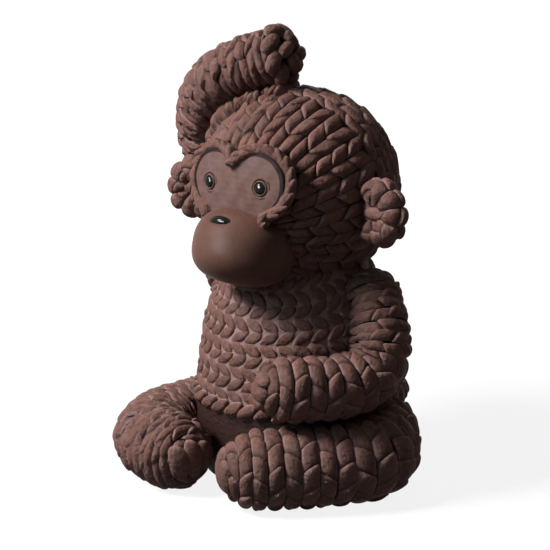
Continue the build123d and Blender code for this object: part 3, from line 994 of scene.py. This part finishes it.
class OrnamentStage(bpy.types.PropertyGroup):
    """Camera, lamps and floor."""

    azimuth: angle_property("Azimuth", "Turn of the camera round the ornament", 38)
    elevation: angle_property("Elevation", "Angle of the camera above the horizon", 12)
    distance: length_property("Distance", "From the camera to the ornament", 0.6, 0.1)
    lens: bpy.props.FloatProperty(
        name="Lens", description="Focal length in millimetres", default=116.5, min=10.0, unit="CAMERA"
    )
    off_centre: length_property(
        "Off centre", "How far the aim lies left of and below the ornament", 0.00843, 0.0
    )
    key_power: power_property("Key lamp", "Power of the large soft lamp in watts", 12.0)
    fill_power: power_property("Fill lamp", "Power of the weak lamp on the other side in watts", 0.55)
    glint_power: power_property("Glint lamp", "Power of the lamp that only glazes mirror, in watts", 25.0)
    back_power: power_property("Back lamp", "Power of the lamp behind the ornament in watts", 3.0)
    sky: bpy.props.FloatProperty(
        name="Sky", description="Strength of the even light from all round", default=0.03, min=0.0
    )
    floor: colour_property("Floor", "Colour of the floor under the lamps", (0.12, 0.12, 0.12))


class ORNAMENT_OT_torso(bpy.types.Operator):
    """Lay the rows of leaves on the torso"""

    bl_idname = "ornament.torso"
    bl_label = "Torso"

    HEM_HEIGHT = 27.5
    NECK_DIP = 6.5
    COLLAR = 4.0
    LOWEST = 1.5
    LAP_HALF_TURN = math.radians(52)
    COUNT_RADIUS = 34.0
    CORE_SINK = 0.42
    LOOSE = 0.012
    LENGTH = 1.2
    WIDTH = 0.49
    HEM_WIDTH = 0.54
    HEM_RISE = 2.0
    SHEAR = 0.4
    SLANT = 0.28

    def execute(self, context):
        knit = context.scene.ornament_knit
        relief = Relief(11, stain=0.3)
        high = knit.torso_relief / MM
        # The torso's core gets painted shade below the hem, where the lap lies in shadow
        tube_core(relief, TORSO, high * self.CORE_SINK, sides=120, shaded_until=self.HEM_HEIGHT)
        step = knit.row_height / MM
        leaves = round(2 * np.pi * self.COUNT_RADIUS / (knit.torso_leaf / MM))
        below = int(self.HEM_HEIGHT / step)
        above = int((TORSO_TOP + 2 * self.NECK_DIP - self.HEM_HEIGHT) / step) + 1
        for row in range(-below, above):
            self.lay_row(relief, row, step, leaves, high)
        seat(relief, "torso_relief", "bisque", "torso_shell")
        return {"FINISHED"}

    def lay_row(self, relief, row, step, leaves, high):
        """A row that is level at the hem and dips ever more at the front above it."""
        turn = round_turns(leaves) + relief.chance.uniform(-self.LOOSE, self.LOOSE, leaves)
        turn = np.angle(np.exp(1j * turn))
        height = self.HEM_HEIGHT + row * step
        rise = TORSO_TOP - self.HEM_HEIGHT
        dip = self.NECK_DIP * max((height - self.HEM_HEIGHT) / rise, 0)
        runs = height - dip * np.cos(turn)
        keep = (runs < TORSO_TOP + self.COLLAR) & (runs > self.LOWEST)
        if row < 0:
            keep &= np.abs(turn) > self.LAP_HALF_TURN
        places = TORSO.at(turn, runs, np.zeros(leaves))
        keep &= ~sunk(places, SUNK, "torso") & ~in_muzzle(places, SUNK)
        way = -row_way(row)
        radius = TORSO.radius(runs)
        slope = dip * np.sin(turn) / radius
        pitch = 2 * np.pi * radius / leaves
        spread = np.maximum(1, 1 - self.NECK_DIP * np.cos(turn) / rise * (row > 0))
        width, scale = (self.HEM_WIDTH, self.HEM_RISE) if row == 0 else (self.WIDTH, 1.0)
        SCALE.lay(
            relief, TORSO, np.column_stack([turn, runs])[keep],
            -self.LENGTH * pitch[keep], -width * step * spread[keep], high * scale,
            bed=PROUD - high, shear=self.SHEAR * way, slant=slope[keep] + self.SLANT * way,
        )


class ORNAMENT_OT_head(bpy.types.Operator):
    """Lay the mane that runs back from the face, and the rings behind it"""

    bl_idname = "ornament.head"
    bl_label = "Head"

    POLE_TILT = math.radians(-15)
    FRONT_EDGE = 15
    BACK_EDGE = 93
    LAST_RING = 176
    RING_STEP = 5.0
    CORE_SINK = 0.8
    LOOSE = 0.01
    RING_LEAF = 1.15
    BORDER_ROOM = 2.2
    MUZZLE_SUNK = 3.0
    PALM_POINTS = np.array([[2.0], [4.0]])
    NEST_LEANS = (-9, 0, 9)
    NEST_LENGTH = 10.0
    NEST_HALF_WIDTH = 1.4
    NEST_OVER = 2.4

    def execute(self, context):
        knit = context.scene.ornament_knit
        # The head gets strong painted shade in its crevices and under its tucked tails
        relief = Relief(23, stain=1.25)
        pole = FRONT * math.cos(self.POLE_TILT) + UP * math.sin(self.POLE_TILT)
        start = UP * math.cos(self.POLE_TILT) - FRONT * math.sin(self.POLE_TILT)
        self.lay_core(relief, pole, start, knit.mane_relief / MM * self.CORE_SINK)
        for row in range(knit.mane_rows):
            self.lay_row(relief, knit, pole, start, row)
        rings = round(math.radians(self.LAST_RING - self.BACK_EDGE) * HEAD_RADIUS / self.RING_STEP)
        for ring in range(rings):
            self.lay_ring(relief, knit, pole, start, ring)
        self.lay_nest(relief)
        seat(relief, "head_relief", "bisque", "head_shell")
        return {"FINISHED"}

    def lay_core(self, relief, pole, start, sink):
        """The bare form under the leaves, with shade painted all over it."""
        tables = ball_angles(90, 120, margin=1)
        angle, turn = (table.ravel() for table in tables)
        outward = Ball.axes(pole, start, angle, turn, np.zeros_like(turn))[:, 0]
        ripple = CORE_RIPPLE * np.sin(9 * turn) * np.sin(14 * angle)
        points = HEAD_CENTRE + (HEAD_RADIUS - sink + ripple)[:, None] * outward
        relief.add_grid(points.reshape(*tables[0].shape, 3))

    def lay_row(self, relief, knit, pole, start, row):
        """A row of the mane, from the mask's border to the back edge."""
        turn = round_turns(knit.mane_rows, 0.5)[row]
        angles = np.radians(np.arange(self.FRONT_EDGE, self.BACK_EDGE, 0.5))
        outward = Ball.axes(pole, start, angles, np.full(len(angles), turn), np.zeros(len(angles)))[:, 0]
        bare = in_mask(HEAD_CENTRE + HEAD_RADIUS * outward, self.BORDER_ROOM)
        first = angles[np.nonzero(bare)[0].max() + 1] if bare.any() else angles[0]
        reach = math.radians(self.BACK_EDGE) - first
        leaves = max(1, round(reach / (knit.mane_leaf / MM / HEAD_RADIUS)))
        step = reach / leaves
        polar = first + (np.arange(leaves) + 0.5) * step + self.LOOSE * relief.chance.uniform(-1, 1, leaves)
        turns = turn + self.LOOSE * relief.chance.uniform(-0.8, 0.8, leaves)
        axes = Ball.axes(pole, start, polar, turns, np.zeros(leaves))
        places = HEAD_CENTRE + HEAD_RADIUS * axes[:, 0]
        keep = ~sunk(places, SUNK, "head") & ~in_muzzle(places, self.MUZZLE_SUNK)
        width = 2 * np.pi * HEAD_RADIUS * np.sin(polar[keep]) / knit.mane_rows
        high = knit.mane_relief / MM
        ROPE.lay(
            relief, HEAD, axes[keep], -LAP * step * HEAD_RADIUS, -COLUMN_HALF * width, high,
            bed=PROUD - high, shear=0.85 * row_way(row), bow=0.25,
        )

    def lay_ring(self, relief, knit, pole, start, ring):
        """A ring of leaves on the back of the head."""
        polar = math.radians(self.BACK_EDGE) + (ring + 0.5) * self.RING_STEP / HEAD_RADIUS
        girth = 2 * np.pi * HEAD_RADIUS * math.sin(polar)
        leaves = max(3, round(girth / (knit.mane_leaf / MM * self.RING_LEAF)))
        turn = round_turns(leaves, 0.5 * (ring % 2))
        axes = Ball.axes(pole, start, np.full(leaves, polar), turn, np.full(leaves, np.pi / 2))
        keep = ~sunk(HEAD_CENTRE + HEAD_RADIUS * axes[:, 0], SUNK, "head")
        high = knit.mane_relief / MM
        ROPE.lay(
            relief, HEAD, axes[keep], girth / leaves * LAP, self.RING_STEP * COLUMN_HALF, high,
            bed=PROUD - high, shear=0.7 * row_way(ring), bow=0.25,
        )

    def lay_nest(self, relief):
        """Tufts that stand up from the head under the raised arm and just beyond its palm."""
        tube = LIMBS["raised_arm"]
        palm, onward, _ = tube.tip
        arm = np.concatenate([tube.line[::10], palm + onward * self.PALM_POINTS])
        arm = arm[arm[:, 2] > HEAD_CENTRE[2]]
        gap = np.linalg.norm(arm - HEAD_CENTRE, axis=1) - HEAD_RADIUS - tube.tip_radius
        high = np.maximum(gap, 0) + self.NEST_OVER
        outward = unit(arm - HEAD_CENTRE)
        along = unit(np.gradient(arm, axis=0))
        for lean in self.NEST_LEANS:
            aside = np.cross(outward, along) * math.tan(math.radians(lean))
            away = unit(outward + aside + 0.03 * relief.chance.uniform(-1, 1, (len(arm), 3)))
            across = unit(np.cross(away, along))
            ahead = unit(across + 0.5 * relief.chance.uniform(-1, 1, (len(arm), 1)) * along)
            TUFT.lay(
                relief, HEAD, axes_from(away, ahead), self.NEST_LENGTH, self.NEST_HALF_WIDTH, high,
                bed=-1.2, slant=0.1,
            )


class ORNAMENT_OT_arms(bpy.types.Operator):
    """Lay the columns of leaves round both arms"""

    bl_idname = "ornament.arms"
    bl_label = "Arms"

    UPPER_ARM = 19.0

    def execute(self, context):
        knit = context.scene.ornament_knit
        upper = flamed(knit, column=0.55, leaf=0.85, height=0.7)
        build_limb("resting_arm", 31, braided(knit), upper=upper, upper_end=self.UPPER_ARM)
        fine = flamed(knit, column=0.64, leaf=0.9, height=1.0)
        build_limb("raised_arm", 37, fine, over=0.55, cap=swirl_cap, stain=0.7)
        return {"FINISHED"}


class ORNAMENT_OT_legs(bpy.types.Operator):
    """Lay the columns of leaves round both legs"""

    bl_idname = "ornament.legs"
    bl_label = "Legs"

    def execute(self, context):
        knit = context.scene.ornament_knit
        build_limb("left_leg", 41, braided(knit, flip=-1))
        build_limb("right_leg", 43, flamed(knit, column=0.62, leaf=0.85, height=0.85), stain=0.4)
        return {"FINISHED"}


class ORNAMENT_OT_face(bpy.types.Operator):
    """Shape the mask with its eye rims, and the rolled border round it"""

    bl_idname = "ornament.face"
    bl_label = "Mask and border"

    MASK_GROW = 1.2
    MASK_THICK = 3.0
    SOCKET_RADIUS = 3.0
    SOCKET_DEPTH = 1.2
    # Width of the band of painted shade along the mask's edge
    GROOVE_SHADE_WIDTH = 1.7
    SOFT_EDGE = 0.5
    BORDER_GROW = 1.7
    BORDER_RADIUS = HEAD_RADIUS + 1.9
    BORDER_HALF_WIDTH = 2.0
    BORDER_HALF_HEIGHT = 2.6
    BORDER_SHADE_PAINT = 0.4
    TUFT_SIZE = (6.6, 1.15, 2.0)
    TUFT_EVERY = 7
    TUFT_TWIST = math.radians(30)

    # Section of an eye rim from the outside in: distance from the eye, height above the mask and darkness,
    # which is painted shade in its grooves
    EYE_RIM = np.array([
        (3.5, -0.05, 0.0),
        (3.2, 0.03, 0.0),
        (2.95, 0.02, 0.3),
        (2.82, -0.35, 1.0),
        (2.62, -0.4, 1.0),
        (2.5, 0.0, 0.5),
        (2.4, 0.3, 0.0),
        (2.22, 0.42, 0.0),
        (2.02, 0.3, 0.2),
        (1.92, -0.1, 1.0),
        (1.8, -0.5, 1.0),
    ])

    def execute(self, context):
        self.make_mask()
        self.make_border()
        return {"FINISHED"}

    def make_mask(self):
        relief = Relief(51)
        part, turn = crossed(np.linspace(0.02, 1, 70), round_turns(220))
        outline = mask_reach(turn, self.MASK_GROW)
        flat = (part * outline)[..., None] * compass(turn) + MASK_HUB
        height = 0.12 * np.sin(flat[..., 0] * 0.9 + 1.3) * np.sin(flat[..., 1] * 0.7)
        for side in (LEFT, RIGHT):
            away = np.linalg.norm(flat - eye_middle(side), axis=-1)
            height = height - self.SOCKET_DEPTH * np.clip((self.SOCKET_RADIUS - away) / self.SOFT_EDGE, 0, 1)
        front = mask_skin(flat, height)
        back = mask_skin(flat[::-1], np.full(part.shape, -self.MASK_THICK))
        # A band of painted shade along the mask's edge, where it tucks under the border
        painted_groove_shade = np.clip((self.GROOVE_SHADE_WIDTH - (1 - part) * outline) / self.SOFT_EDGE, 0, 1)
        relief.add_grid(np.concatenate([front, back]), np.concatenate([painted_groove_shade, np.zeros_like(painted_groove_shade)]))
        for side in (LEFT, RIGHT):
            reach, turn = crossed(self.EYE_RIM[:, 0], round_turns(64))
            flat = eye_middle(side) + reach[..., None] * compass(turn)
            height, edge = (np.broadcast_to(column[:, None], reach.shape) for column in self.EYE_RIM.T[1:])
            relief.add_grid(mask_skin(flat, height), edge)
        seat(relief, "mask", "mask_bisque", "face_plate")

    def make_border(self):
        relief = Relief(53, self.BORDER_SHADE_PAINT)
        turns = round_turns(260)
        flat = mask_reach(turns, self.BORDER_GROW)[:, None] * compass(turns) + MASK_HUB
        depth = -np.sqrt(self.BORDER_RADIUS**2 - (flat**2).sum(-1))
        line = np.stack([flat[:, 0], depth, flat[:, 1] + HEAD_CENTRE[2]], -1)
        along = unit(np.roll(line, -1, 0) - np.roll(line, 1, 0))
        outward = unit(line - HEAD_CENTRE)
        aside = np.cross(along, outward)
        lumps = 1 + 0.05 * np.sin(turns * 11 + 0.7) + 0.04 * np.sin(turns * 23 + 2.0)
        angle = round_turns(20)
        wide = aside[:, None] * self.BORDER_HALF_WIDTH
        high = outward[:, None] * self.BORDER_HALF_HEIGHT
        points = line[:, None] + swing(angle, wide, high) * lumps[:, None, None]
        points = np.concatenate([points, points[:1]])
        # Painted shade along the underside of the rolled border, where it meets the head; its sides get the
        # pale crease coat
        edge = np.tile(np.clip(0.6 - 0.8 * np.sin(angle), 0, 1), (len(points), 1))
        relief.add_grid(points, edge, tip=0.5, stain=self.BORDER_SHADE_PAINT)
        ahead = along * math.cos(self.TUFT_TWIST) + aside * math.sin(self.TUFT_TWIST)
        axes = axes_from(outward, ahead)[:: self.TUFT_EVERY]
        ball = Ball(HEAD_CENTRE, self.BORDER_RADIUS)
        TUFT.lay(relief, ball, axes, *self.TUFT_SIZE, bed=0.7, slant=0.15, rise=0.3, lift=0.4)
        seat(relief, "mask_border", "bisque", "face_rim")


class ORNAMENT_OT_muzzle(bpy.types.Operator):
    """Shape the smooth muzzle with its nose pocket"""

    bl_idname = "ornament.muzzle"
    bl_label = "Muzzle"

    POCKET_HALF_WIDTH = 5.6
    POCKET_HALF_HEIGHT = 2.9
    POCKET_DEPTH = 0.9
    RIPPLE = 0.1

    def execute(self, context):
        relief = Relief(61)
        turns = np.linspace(-np.pi, np.pi, 160, endpoint=False)
        rise, turn = crossed(np.radians(np.linspace(-88, 88, 120)), turns)
        across = turn * MUZZLE_RADIUS * np.cos(rise) / self.POCKET_HALF_WIDTH
        above = (rise - NOSE_SLOPE) * MUZZLE_RISE / self.POCKET_HALF_HEIGHT
        pocket = np.clip(1 - np.hypot(across, above), 0, 1)
        height = -self.POCKET_DEPTH * pocket**2 * (3 - 2 * pocket)
        height = height + self.RIPPLE * np.sin(turn * 3 + 1) * np.cos(rise * 4)
        relief.add_grid(muzzle_place(turn, rise, height), 0.0)
        seat(relief, "muzzle", "satin_bisque", "muzzle_shell")
        return {"FINISHED"}


class ORNAMENT_OT_glazed(bpy.types.Operator):
    """Set the glazed nose and the two glazed eyes"""

    bl_idname = "ornament.glazed"
    bl_label = "Nose and eyes"

    NOSE_CURVE = 14.0
    NOSE_SIZE = (9.0, 1.7, 1.5)
    NOSE_BED = -0.8
    EYE_RADIUS = 1.95
    EYE_FRONT = 1.15
    EYE_BACK = 1.4
    EYE_SINK = 0.05

    def execute(self, context):
        self.make_nose()
        for side, name in ((LEFT, "left_eye"), (RIGHT, "right_eye")):
            self.make_eye(side, name)
        return {"FINISHED"}

    def make_nose(self):
        relief = Relief(71)
        slopes = np.array([NOSE_SLOPE, NOSE_SLOPE + 0.05])
        centre, above = muzzle_place(np.zeros(2), slopes, np.zeros(2))
        outward = unit(np.cross(ASIDE, above - centre))
        ball = Ball(centre - outward * self.NOSE_CURVE, self.NOSE_CURVE)
        SEED_POD.lay(relief, ball, axes_from(outward, ASIDE)[None], *self.NOSE_SIZE, bed=self.NOSE_BED)
        seat(relief, "nose_glaze", "black_glaze", "nose")

    def make_eye(self, side, name):
        relief = Relief(73)
        centre = mask_skin(eye_middle(side), 0.0)
        outward = unit(centre - np.array([0.0, MASK_BACK, HEAD_CENTRE[2]]))
        sideways = unit(np.cross(UP, outward))
        upward = np.cross(outward, sideways)
        angle, turn = ball_angles(24, 40)
        flat = self.EYE_RADIUS * np.sin(angle)
        high = np.where(angle < np.pi / 2, self.EYE_FRONT, self.EYE_BACK) * np.cos(angle) - self.EYE_SINK
        points = centre + flat[..., None] * swing(turn, sideways, upward) + high[..., None] * outward
        relief.add_grid(points, 0.0)
        seat(relief, name + "_glaze", "black_glaze", name)


class ORNAMENT_OT_ears(bpy.types.Operator):
    """Coil the two braided ears"""

    bl_idname = "ornament.ears"
    bl_label = "Ears"

    TURN = math.radians(78)
    DROP = 3.2
    STANDOFF = 5.6
    CURL = 6.4
    SWEEP = 130
    ROPE_RADIUS = 4.6
    ROPE_SINK = 1.8
    LOBES = 7
    LEAVES = 4
    LEAF_LAP = 1.08
    LEAF_HALF = 0.52
    LEAF_HEIGHT = 2.4
    BOWL_THICK = 2.6
    BOWL_ROOT = 2.0
    FOLD_SIZE = (11.0, 2.3, 2.2)
    FOLD_CURVE = 14.0
    FOLD_RISES = np.array([[-4.4], [0.0], [4.4]])

    def execute(self, context):
        for side, name, seed in ((LEFT, "left_ear", 81), (RIGHT, "right_ear", 83)):
            self.make_ear(side, name, seed)
        return {"FINISHED"}

    def make_ear(self, side, name, seed):
        relief = Relief(seed)
        outward = np.array([side * math.sin(self.TURN), -math.cos(self.TURN), 0.0])
        ahead = unit(np.cross(UP, outward)) * -side
        hub = HEAD_CENTRE + outward * (HEAD_RADIUS + self.STANDOFF) - UP * self.DROP
        sweep = np.radians(np.linspace(self.SWEEP, -self.SWEEP, 15))
        line = hub + self.CURL * swing(sweep, outward, UP)
        tube = Tube.limb(line, (self.ROPE_RADIUS, self.ROPE_RADIUS), ahead)
        tube_core(relief, tube, self.ROPE_SINK, sides=40)
        self.add_bowl(relief, hub, outward, ahead)
        self.add_folds(relief, hub, outward, ahead)
        width = tube.reach / self.LOBES
        for lobe in range(self.LOBES):
            run = (lobe + 0.5) * width
            way = row_way(lobe)
            turn = round_turns(self.LEAVES, 0.5 + 0.1 * way)
            places = np.column_stack([turn, np.full(self.LEAVES, run)])
            pitch = 2 * np.pi * float(tube.radius(run)) / self.LEAVES
            ROPE.lay(
                relief, tube, places, pitch * self.LEAF_LAP, width * self.LEAF_HALF, self.LEAF_HEIGHT,
                bed=-1.7, shear=0.5 * way, bow=0.2,
            )
        seat(relief, name + "_relief", "bisque", name)

    def add_bowl(self, relief, hub, outward, ahead):
        """The hollow of the ear, which joins its curl to the head."""
        angle, turn = ball_angles(30, 48)
        level = swing(turn, ahead * self.BOWL_THICK, np.cross(outward, ahead) * self.CURL)
        points = hub + swing(angle, outward * (self.STANDOFF + self.BOWL_ROOT), level)
        relief.add_grid(points, edge=0.4, tip=0.5, stain=0.8)

    def add_folds(self, relief, hub, outward, ahead):
        """Three lobes one above the other in the hollow of the ear."""
        face = Ball(hub + ahead * (self.BOWL_THICK - self.FOLD_CURVE), self.FOLD_CURVE)
        normal = unit(ahead * self.FOLD_CURVE + UP * self.FOLD_RISES)
        axes = axes_from(normal, np.broadcast_to(outward, normal.shape))
        TUFT.lay(relief, face, axes, *self.FOLD_SIZE, bed=-0.9, slant=0.1)


class ORNAMENT_OT_stage(bpy.types.Operator):
    """Set the floor, the lamps, the sky and the camera"""

    bl_idname = "ornament.stage"
    bl_label = "Stage"

    MIDDLE = Vector((0.0, 0.0, 0.075))
    WHITE = (1.0, 1.0, 1.0, 1.0)
    NEAR_WHITE = (0.86, 0.86, 0.86, 1.0)
    NEAR = 0.08
    FAR = 0.4
    FLOOR_HALF = 4.0
    FLOOR_DROP = -0.0001
    SENSOR_WIDTH = 36.0
    CLIP_START = 0.01

    # Each lamp as a name, an azimuth and an elevation in degrees, a distance from the ornament and a size
    LAMPS = (
        ("key", -36, 40, 0.75, 0.24),
        ("fill", 72, 58, 0.9, 0.5),
        ("glint", -15, 18, 0.7, 0.35),
        ("back", 218, 12, 0.8, 0.4),
    )

    def execute(self, context):
        stage = context.scene.ornament_stage
        self.make_floor(context.scene, stage)
        self.make_sky(context.scene, stage)
        for lamp in self.LAMPS:
            self.make_lamp(context.scene, stage, *lamp)
        self.make_camera(context.scene, stage)
        context.scene.view_settings.view_transform = "Standard"
        return {"FINISHED"}

    @staticmethod
    def bearing(azimuth, elevation):
        level = math.cos(elevation)
        return Vector((math.sin(azimuth) * level, -math.cos(azimuth) * level, math.sin(elevation)))

    @staticmethod
    def seen_directly(finish):
        """1 for what is seen straight, mirrored or through glass, and 0 for light that falls on things."""
        camera, glossy, through = (
            finish.node("ShaderNodeLightPath", output=name)
            for name in ("Is Camera Ray", "Is Glossy Ray", "Is Transmission Ray")
        )
        return camera + glossy + through

    def make_floor(self, scene, stage):
        """A floor that glows white where it is seen directly, and keeps the shadow of the ornament."""
        half = self.FLOOR_HALF
        mesh = bpy.data.meshes.new("floor")
        corners = [(-half, -half), (half, -half), (half, half), (-half, half)]
        mesh.from_pydata([(x, y, self.FLOOR_DROP) for x, y in corners], [], [(0, 1, 2, 3)])
        finish = Finish(bpy.data.materials.new("floor_finish"))
        lit = finish.node("ShaderNodeBsdfDiffuse", {}, {"Color": opaque(stage.floor)})
        reach = finish.node("ShaderNodeVectorMath", {"operation": "LENGTH"}, {0: finish.place()}, "Value")
        white = finish.mix(finish.between(reach, self.NEAR, self.FAR), self.NEAR_WHITE, self.WHITE)
        glow = finish.node("ShaderNodeEmission", {}, {"Color": white, "Strength": 1.0})
        both = finish.node("ShaderNodeAddShader", {}, {0: lit, 1: glow})
        shown = finish.node("ShaderNodeMixShader", {}, {0: self.seen_directly(finish), 1: lit, 2: both})
        finish.node("ShaderNodeOutputMaterial", {}, {"Surface": shown})
        mesh.materials.append(finish.owner)
        floor = bpy.data.objects.new("floor", mesh)
        scene.collection.objects.link(floor)

    def make_sky(self, scene, stage):
        """A sky that looks white and gives little light."""
        sky = Finish(bpy.data.worlds.new("sky"))
        dim = sky.node("ShaderNodeBackground", {}, {"Color": self.WHITE, "Strength": stage.sky})
        white = sky.node("ShaderNodeBackground", {}, {"Color": self.WHITE, "Strength": 1.0})
        shown = sky.node("ShaderNodeMixShader", {}, {0: self.seen_directly(sky), 1: dim, 2: white})
        sky.node("ShaderNodeOutputWorld", {}, {"Surface": shown})
        scene.world = sky.owner

    def make_lamp(self, scene, stage, name, azimuth, elevation, distance, size):
        """A round lamp that faces the ornament. The glint lamp only shows in what mirrors it."""
        lamp = bpy.data.lights.new(name + "_lamp", "AREA")
        lamp.shape = "DISK"
        lamp.size = size
        lamp.energy = getattr(stage, name + "_power")
        holder = bpy.data.objects.new(name + "_lamp", lamp)
        way = self.bearing(math.radians(azimuth), math.radians(elevation))
        holder.location = self.MIDDLE + way * distance
        holder.rotation_euler = (-way).to_track_quat("-Z", "Y").to_euler()
        holder.visible_diffuse = name != "glint"
        scene.collection.objects.link(holder)

    def make_camera(self, scene, stage):
        camera = bpy.data.cameras.new("camera")
        camera.lens = stage.lens
        camera.sensor_width = self.SENSOR_WIDTH
        camera.clip_start = self.CLIP_START
        holder = bpy.data.objects.new("camera", camera)
        back = self.bearing(stage.azimuth, stage.elevation)
        aside = Vector((math.cos(stage.azimuth), math.sin(stage.azimuth), 0.0))
        upward = back.cross(aside)
        holder.location = self.MIDDLE + back * stage.distance
        aim = self.MIDDLE - (aside + upward) * stage.off_centre
        holder.rotation_euler = (aim - holder.location).to_track_quat("-Z", "Y").to_euler()
        scene.collection.objects.link(holder)
        scene.camera = holder


GROUPS = (
    ("ornament_knit", OrnamentKnit),
    ("ornament_colours", OrnamentColours),
    ("ornament_stage", OrnamentStage),
)
STEPS = (
    ORNAMENT_OT_torso,
    ORNAMENT_OT_head,
    ORNAMENT_OT_face,
    ORNAMENT_OT_muzzle,
    ORNAMENT_OT_glazed,
    ORNAMENT_OT_ears,
    ORNAMENT_OT_arms,
    ORNAMENT_OT_legs,
    ORNAMENT_OT_stage,
)


class ORNAMENT_PT_panel(bpy.types.Panel):
    """Sizes, colours and steps of the ornament"""

    bl_idname = "ORNAMENT_PT_panel"
    bl_label = "Seated Monkey"
    bl_space_type = "VIEW_3D"
    bl_region_type = "UI"
    bl_category = "Ornament"

    def draw(self, context):
        for name, kind in GROUPS:
            box = self.layout.box()
            for size in kind.__annotations__:
                box.prop(getattr(context.scene, name), size)
        for step in STEPS:
            self.layout.operator(step.bl_idname)


def register():
    for name, group in GROUPS:
        bpy.utils.register_class(group)
        setattr(bpy.types.Scene, name, bpy.props.PointerProperty(type=group))
    for cls in (*STEPS, ORNAMENT_PT_panel):
        bpy.utils.register_class(cls)


def unregister():
    for cls in (ORNAMENT_PT_panel, *reversed(STEPS)):
        bpy.utils.unregister_class(cls)
    for name, group in reversed(GROUPS):
        delattr(bpy.types.Scene, name)
        bpy.utils.unregister_class(group)


def main():
    register()
    for step in STEPS:
        getattr(bpy.ops.ornament, step.bl_idname.split(".")[1])()


if __name__ == "__main__":
    main()
